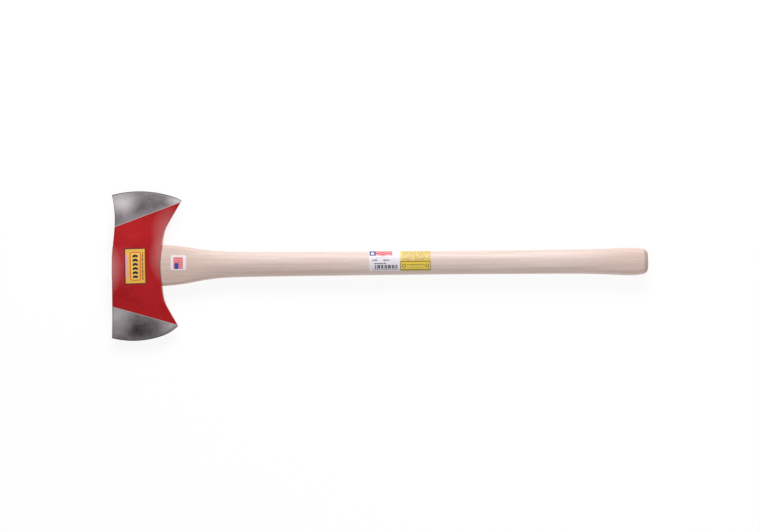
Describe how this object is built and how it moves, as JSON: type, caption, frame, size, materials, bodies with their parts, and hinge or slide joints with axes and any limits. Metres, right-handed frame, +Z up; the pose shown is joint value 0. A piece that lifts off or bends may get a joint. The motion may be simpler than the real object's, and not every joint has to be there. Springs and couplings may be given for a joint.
{
  "type": "double-bit axe",
  "caption": "Double-bit felling axe with a red painted forged head, bare ground bits, straight oval wooden handle, eye wedges and plain stuck-on labels.",
  "frame": {"origin": "on the surface that the axe lies on, below the middle of its length and midway between the two bits", "axes": "+X along the handle from the head to the knob, +Y from the lower bit to the upper bit, +Z up out of the cheek"},
  "size_m": [0.9144, 0.2556, 0.0282],
  "materials": {
    "head_finish": "satin red enamel over forged steel, with both bits ground to bare steel",
    "handle_wood": "pale sanded hickory under a thin clear coat",
    "wedge_wood": "end-grain hardwood wedge, dry and unfinished",
    "wedge_steel": "dull rolled steel with hammer-marked tops",
    "yellow_label": "printed yellow label, slightly glossy",
    "white_label": "printed white label, slightly glossy"
  },
  "bodies": {
    "root": {"axe_head": "head_finish", "handle": "handle_wood", "wood_wedge": "wedge_wood", "upper_steel_wedge": "wedge_steel", "lower_steel_wedge": "wedge_steel", "head_label": "yellow_label", "square_label": "white_label", "code_label": "white_label", "advice_label": "yellow_label"}
  },
  "joints": []
}
